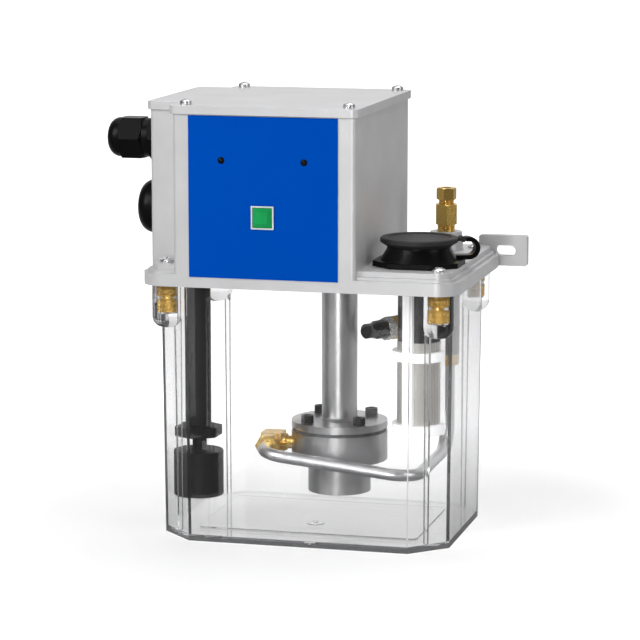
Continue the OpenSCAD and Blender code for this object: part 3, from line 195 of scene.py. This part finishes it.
# Woven wire of the strainer
WIRE_SCALE = 420
WIRE_METAL = 0.7
# Painted shade: the dark colour in the gaps between the wires stands in for the shade seen through the open
# weave
WIRE_GAP_SHADE = (0.15, 0.145, 0.135)
WIRE_TOP = (0.62, 0.60, 0.56)
WIRE_ROUGH = (0.6, 0.35)
WIRE_RELIEF = (0.5, 0.2)


def woven_wire():
    """Two crossed sets of wires, with painted shade in the gaps between them."""
    mat, tree, shader, _ = new_material("mesh_steel")
    shader.inputs["Metallic"].default_value = WIRE_METAL
    waves = []
    for axis in ("X", "Z"):
        wave = node(tree, "ShaderNodeTexWave", bands_direction=axis)
        wave.inputs["Scale"].default_value = WIRE_SCALE
        tree.links.new(coords(tree), wave.inputs["Vector"])
        waves.append(wave.outputs["Fac"])
    height = maths(tree, "MAXIMUM", *waves)
    tree.links.new(tint(tree, height, WIRE_GAP_SHADE, WIRE_TOP, 0.25, 0.95), shader.inputs["Base Color"])
    tree.links.new(spread(tree, height, *WIRE_ROUGH), shader.inputs["Roughness"])
    bump(tree, shader, height, *WIRE_RELIEF)
    return mat


# Clear plastic of the tank, with the share of the light that it passes without bending it
STRAIGHT_SHARE = 0.05
PLASTIC_IOR = 1.47
FOG_COLOUR = (0.60, 0.62, 0.66, 1)
FOG_DENSITY = 5


def clear_plastic():
    """Clear moulded plastic that lets lamps through and greys along long paths."""
    mat, tree, shader, out = new_material("clear_plastic")
    shader.inputs["Base Color"].default_value = (1, 1, 1, 1)
    shader.inputs["Transmission Weight"].default_value = 1
    shader.inputs["Roughness"].default_value = 0
    shader.inputs["IOR"].default_value = PLASTIC_IOR
    path = node(tree, "ShaderNodeLightPath")
    through = node(tree, "ShaderNodeBsdfTransparent")
    mix = node(tree, "ShaderNodeMixShader")
    share = maths(tree, "MAXIMUM", path.outputs["Is Shadow Ray"], STRAIGHT_SHARE)
    tree.links.new(share, mix.inputs["Fac"])
    tree.links.new(shader.outputs[0], mix.inputs[1])
    tree.links.new(through.outputs[0], mix.inputs[2])
    tree.links.new(mix.outputs[0], out.inputs["Surface"])
    fog = node(tree, "ShaderNodeVolumeAbsorption")
    fog.inputs["Color"].default_value = FOG_COLOUR
    fog.inputs["Density"].default_value = FOG_DENSITY
    tree.links.new(fog.outputs[0], out.inputs["Volume"])
    return mat


wire = woven_wire()
clear = clear_plastic()

LOOKS = {
    "tank": clear, "tank_inserts": brass, "tank_gasket": grey_rubber, "housing": cast, "lid_screws": zinc,
    "cover_plate": cast, "cover_gasket": pale_rubber, "cover_screws": zinc, "front_panel": blue,
    "indicators": black_gloss, "button_bezel": pale, "button_cap": green, "button_switch": black,
    "control_board": board, "terminal_block": green, "board_standoffs": zinc, "motor_case": dark_steel,
    "motor_stator": copper, "motor_bearings": zinc, "motor_rotor": turned, "motor_screws": zinc,
    "shaft_coupling": turned, "drive_shaft": turned, "shaft_bush": brass, "shaft_seal": rubber,
    "stem_tube": turned, "flange_gasket": grey_rubber, "flange_screws": black_steel, "pump_body": turned,
    "drive_gear": turned, "idler_gear": turned, "idler_pin": turned, "suction_screen": zinc,
    "elbow_fitting": brass, "elbow_nut": brass, "delivery_pipe": tube, "pipe_nut": brass,
    "outlet_column": dark_steel, "outlet_boss": cast, "outlet_fitting": brass, "outlet_nut": brass,
    "relief_body": brass, "relief_locknut": zinc, "relief_cap": black_gloss, "level_tube": black,
    "level_locknut": black, "level_hex": black, "level_stem": black, "level_float": black, "float_clip": zinc,
    "filler_neck": black_gloss, "filler_locknut": black, "filler_cap": cap_rubber,
    "strainer_frame": white_plastic, "strainer_mesh": wire, "gland_body": black_gloss,
    "gland_nut": black_gloss, "gland_seal": rubber, "blanking_plug": black_gloss, "entry_locknuts": black,
}
for name, mat in LOOKS.items():
    data = nodes[name].data
    data.materials.clear()
    data.materials.append(mat)

# Widths of the rounded edges on the carried-over pieces, in millimetres
ROUNDED = {
    "housing": 1.0, "outlet_boss": 0.8, "cover_plate": 1.3, "button_bezel": 0.35, "button_cap": 0.4,
    "outlet_fitting": 0.3, "outlet_nut": 0.3, "elbow_fitting": 0.35, "elbow_nut": 0.3, "pipe_nut": 0.3,
    "relief_body": 0.3, "relief_locknut": 0.25, "relief_cap": 0.4, "stem_tube": 0.4, "pump_body": 0.5,
    "flange_screws": 0.3, "lid_screws": 0.3, "cover_screws": 0.2, "level_hex": 0.5, "level_tube": 0.3,
    "level_float": 0.7, "filler_neck": 0.5, "filler_cap": 0.5, "strainer_frame": 0.3, "gland_body": 0.4,
    "gland_nut": 0.4, "blanking_plug": 0.4, "outlet_column": 0.4, "tank": 1.5, "level_stem": 0.3,
}
WELD_MM = 0.002
FLAT_WITHIN = math.radians(0.5)
SHARP_FROM = math.radians(32)
EDGE_SEGMENTS = 3
for name, width in ROUNDED.items():
    obj = nodes[name]
    for poly in obj.data.polygons:
        poly.use_smooth = True
    weld = obj.modifiers.new("weld", "WELD")
    weld.merge_threshold = WELD_MM * MM
    flat = obj.modifiers.new("flat", "DECIMATE")
    flat.decimate_type = "DISSOLVE"
    flat.angle_limit = FLAT_WITHIN
    edge = obj.modifiers.new("edge", "BEVEL")
    edge.width = width * MM
    edge.segments = EDGE_SEGMENTS
    edge.limit_method = "ANGLE"
    edge.angle_limit = SHARP_FROM
    edge.use_clamp_overlap = True
    even = obj.modifiers.new("even", "WEIGHTED_NORMAL")
    even.keep_sharp = False


# Helpers for pieces that only the looks need
def add_piece(name, bm, mat, body):
    mesh = bpy.data.meshes.new(name)
    bmesh.ops.recalc_face_normals(bm, faces=bm.faces)
    bm.to_mesh(mesh)
    bm.free()
    obj = bpy.data.objects.new(name, mesh)
    scene.collection.objects.link(obj)
    mesh.materials.append(mat)
    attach(obj, body)
    return obj


def even_rows(low, high, steps):
    """Heights in metres from low to high in millimetres."""
    return [(low + (high - low) * i / steps) * MM for i in range(steps + 1)]


def ring(bm, centre, radius_at, z, around):
    made = []
    for i in range(around):
        a = FULL_TURN * i / around
        r = radius_at(a, z)
        made.append(bm.verts.new((centre[0] + r * math.cos(a), centre[1] + r * math.sin(a), z)))
    return made


def lathe(bm, centre, radius_at, heights, around, bore):
    """A closed sleeve about a vertical axis whose outer radius depends on angle and height."""
    outer = [ring(bm, centre, radius_at, z, around) for z in heights]
    inner = [ring(bm, centre, lambda a, z: bore, z, around) for z in (heights[0], heights[-1])]
    for i in range(around):
        n = (i + 1) % around
        for low, high in zip(outer, outer[1:]):
            bm.faces.new((low[i], low[n], high[n], high[i]))
        bm.faces.new((inner[0][n], inner[0][i], inner[1][i], inner[1][n]))
        bm.faces.new((outer[0][n], outer[0][i], inner[0][i], inner[0][n]))
        bm.faces.new((outer[-1][i], outer[-1][n], inner[1][n], inner[1][i]))


def triangle_wave(t):
    return abs(2 * (t - math.floor(t)) - 1)


# Diamond knurl on the brass inserts, pressed into the plastic, in millimetres
INSERT_CAD_R = 4.5
INSERT_R = 4.55
INSERT_BORE_R = 2.6
INSERT_ROWS = 76
INSERT_AROUND = 144
KNURL_H = 0.4
KNURL_STARTS = 24
KNURL_PITCH = 1.6
GROOVE_HALF = 0.8
GROOVE_DEPTH = 0.25
insert_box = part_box("tank_inserts")
insert_low = insert_box[0].z / MM
insert_high = insert_box[1].z / MM
insert_mid = (insert_low + insert_high) / 2
insert_x = insert_box[1].x - INSERT_CAD_R * MM
insert_y = insert_box[1].y - INSERT_CAD_R * MM


def knurl_radius(a, z):
    """Diamonds where two sets of ridges cross, with a plain groove halfway up."""
    level = (z / MM - insert_low) / KNURL_PITCH
    turn = KNURL_STARTS * a / FULL_TURN
    diamond = min(triangle_wave(turn + level), triangle_wave(turn - level))
    if abs(z / MM - insert_mid) < GROOVE_HALF:
        return (INSERT_R - GROOVE_DEPTH) * MM
    return (INSERT_R + KNURL_H * diamond) * MM


insert_rows = even_rows(insert_low, insert_high, INSERT_ROWS)
insert_mesh = bmesh.new()
for sx in (-1, 1):
    for sy in (-1, 1):
        centre = (sx * insert_x, sy * insert_y)
        lathe(insert_mesh, centre, knurl_radius, insert_rows, INSERT_AROUND, INSERT_BORE_R * MM)
inserts = add_piece("knurled_inserts", insert_mesh, brass, "base")
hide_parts("tank_inserts")

# Threads that show at the outlet, in millimetres
OUTLET_X = 74.0
OUTLET_Y = 47.0
THREAD_ROWS = 8
THREAD_AROUND = 64
THREADS = {
    "outlet_thread": {"r": 6.15, "low": 197.6, "high": 202.0, "pitch": 1.1, "depth": 0.5, "bore": 5.2},
    "outlet_stub_thread": {"r": 5.35, "low": 216.2, "high": 219.4, "pitch": 1.0, "depth": 0.4, "bore": 4.0},
}


def thread(name, r, low, high, pitch, depth, bore):
    """A brass sleeve with one ridge wound round it, with so many rows to each turn."""
    steps = max(THREAD_ROWS, int((high - low) / pitch * THREAD_ROWS))

    def radius(a, z):
        return (r - depth * triangle_wave(z / MM / pitch + a / FULL_TURN)) * MM

    made = bmesh.new()
    centre = (OUTLET_X * MM, OUTLET_Y * MM)
    lathe(made, centre, radius, even_rows(low, high, steps), THREAD_AROUND, bore * MM)
    obj = add_piece(name, made, brass, "base")
    for poly in obj.data.polygons:
        poly.use_smooth = True


for name, sizes in THREADS.items():
    thread(name, **sizes)

# Camera fitted to the photograph
CAMERA_AT = Vector((0.4728, -1.8360, 0.4557))
CAMERA_AIM = Vector((-0.0025, 0, 0.14035))
LENS_MM = 160.4
SENSOR_MM = 36


def facing(place, target):
    """The turn of a camera or lamp that stands at place and looks at target."""
    return (target - place).to_track_quat("-Z", "Y").to_euler()


cam_data = bpy.data.cameras.new("camera")
cam_data.sensor_width = SENSOR_MM
cam_data.lens = LENS_MM
cam = bpy.data.objects.new("camera", cam_data)
cam.location = CAMERA_AT
cam.rotation_euler = facing(CAMERA_AT, CAMERA_AIM)
scene.collection.objects.link(cam)
scene.camera = cam

# Floor, in metres, just below the part so that their faces don't meet
FLOOR_REACH = 12.0
FLOOR_DROP = 0.0004
FLOOR_TONE = (0.82, 0.82, 0.82, 1)
FLOOR_ROUGH = 0.6
FLOOR_SHINE = 0.1
# Its tone in reflections, from the front to the back, and where along Y that changes
FRONT_TONE = 0.12
BACK_TONE = 0.85
TONE_FROM_Y = -0.05
TONE_TO_Y = 0.35
# Its own light as the camera sees it and through the tank: near, far, and the distances of the two
CAMERA_LIFT = (0.2, 1.0, 0.2, 0.5)
TANK_LIFT = (0.55, 0.72, 0.16, 0.4)


def straight_through(tree, path):
    """One for rays through the tank that no piece has reflected."""
    straight = maths(tree, "LESS_THAN", path.outputs["Glossy Depth"], 0.5)
    return maths(tree, "MULTIPLY", path.outputs["Is Transmission Ray"], straight)


def floor_material():
    """White to the camera and through the tank with a faint shadow, and dark in front in reflections."""
    mat, tree, shader, out = new_material("floor")
    shader.inputs["Roughness"].default_value = FLOOR_ROUGH
    shader.inputs["Specular IOR Level"].default_value = FLOOR_SHINE
    where = node(tree, "ShaderNodeTexCoord")
    length = node(tree, "ShaderNodeVectorMath", operation="LENGTH")
    tree.links.new(where.outputs["Object"], length.inputs[0])
    far = length.outputs["Value"]
    parts = node(tree, "ShaderNodeSeparateXYZ")
    tree.links.new(where.outputs["Object"], parts.inputs[0])
    path = node(tree, "ShaderNodeLightPath")
    depth = spread(tree, parts.outputs["Y"], 0, 1, TONE_FROM_Y, TONE_TO_Y)
    colour = node(tree, "ShaderNodeMix", data_type="RGBA")
    colour.inputs[MIX_FIRST].default_value = FLOOR_TONE
    tree.links.new(path.outputs["Is Glossy Ray"], colour.inputs[MIX_FACTOR])
    tree.links.new(tint(tree, depth, grey(FRONT_TONE), grey(BACK_TONE), 0, 1), colour.inputs[MIX_SECOND])
    tree.links.new(colour.outputs[MIX_RESULT], shader.inputs["Base Color"])
    seen = maths(tree, "MULTIPLY", path.outputs["Is Camera Ray"], spread(tree, far, *CAMERA_LIFT))
    passed = straight_through(tree, path)
    lift = maths(tree, "MULTIPLY_ADD", passed, spread(tree, far, *TANK_LIFT), seen)
    glow = node(tree, "ShaderNodeEmission")
    tree.links.new(lift, glow.inputs["Strength"])
    both = node(tree, "ShaderNodeAddShader")
    tree.links.new(shader.outputs[0], both.inputs[0])
    tree.links.new(glow.outputs[0], both.inputs[1])
    tree.links.new(both.outputs[0], out.inputs["Surface"])
    return mat


floor_mesh = bpy.data.meshes.new("floor")
floor_corners = [(FLOOR_REACH * sx, FLOOR_REACH * sy, 0) for sx, sy in ((-1, -1), (1, -1), (1, 1), (-1, 1))]
floor_mesh.from_pydata(floor_corners, [], [(0, 1, 2, 3)])
floor = bpy.data.objects.new("floor", floor_mesh)
floor.location.z = -FLOOR_DROP
scene.collection.objects.link(floor)
floor_mesh.materials.append(floor_material())

# Lamps: place and target in metres, width and height in metres, and power in watts
LAMPS = {
    "key": {"place": (-0.85, -1.1, 0.95), "target": (0, 0, 0.14), "size": (0.7, 0.9), "power": 15},
    "front": {"place": (0.08, -1.25, 0.2), "target": (0, 0, 0.12), "size": (0.14, 0.36), "power": 3.6},
    "top": {"place": (0.1, 0.1, 1.5), "target": (0, 0, 0.14), "size": (1.2, 1.2), "power": 12},
    "right": {"place": (1.3, -0.5, 0.6), "target": (0, 0, 0.14), "size": (0.5, 0.9), "power": 4.2},
}


def lamp(name, place, target, size, power):
    data = bpy.data.lights.new(name, "AREA")
    data.shape = "RECTANGLE"
    data.size, data.size_y = size
    data.energy = power
    made = bpy.data.objects.new(name, data)
    made.location = place
    made.rotation_euler = facing(Vector(place), Vector(target))
    scene.collection.objects.link(made)


for name, values in LAMPS.items():
    lamp(name, **values)

# Surroundings: a studio that is bright behind and above, and the white that shows through the tank
STUDIO_LEAN = (0, 1, 0.3)
STUDIO_FROM = 0.45
STUDIO_TO = 0.95
STUDIO_DARK = 0.09
STUDIO_LIGHT = 1.0
STUDIO_STRENGTH = 0.85
TANK_WHITE = 0.87


def surroundings():
    """White to the camera and through the tank, and the studio to all else."""
    world = bpy.data.worlds.new("world")
    world.use_nodes = True
    tree = world.node_tree
    tree.nodes.clear()
    out = node(tree, "ShaderNodeOutputWorld")
    path = node(tree, "ShaderNodeLightPath")
    where = node(tree, "ShaderNodeTexCoord")
    lean = node(tree, "ShaderNodeVectorMath", operation="DOT_PRODUCT")
    lean.inputs[1].default_value = STUDIO_LEAN
    tree.links.new(where.outputs["Generated"], lean.inputs[0])
    tone = spread(tree, lean.outputs["Value"], 0, 1, STUDIO_FROM, STUDIO_TO)
    studio = node(tree, "ShaderNodeBackground")
    studio.inputs["Strength"].default_value = STUDIO_STRENGTH
    tree.links.new(tint(tree, tone, grey(STUDIO_DARK), grey(STUDIO_LIGHT), 0, 1), studio.inputs["Color"])
    passed = straight_through(tree, path)
    white = node(tree, "ShaderNodeBackground")
    white.inputs["Color"].default_value = (1, 1, 1, 1)
    tree.links.new(spread(tree, passed, 1, TANK_WHITE, 0, 1), white.inputs["Strength"])
    mix = node(tree, "ShaderNodeMixShader")
    tree.links.new(maths(tree, "MAXIMUM", path.outputs["Is Camera Ray"], passed), mix.inputs["Fac"])
    tree.links.new(studio.outputs[0], mix.inputs[1])
    tree.links.new(white.outputs[0], mix.inputs[2])
    tree.links.new(mix.outputs[0], out.inputs["Surface"])
    return world


scene.world = surroundings()
scene.view_settings.view_transform = "Standard"
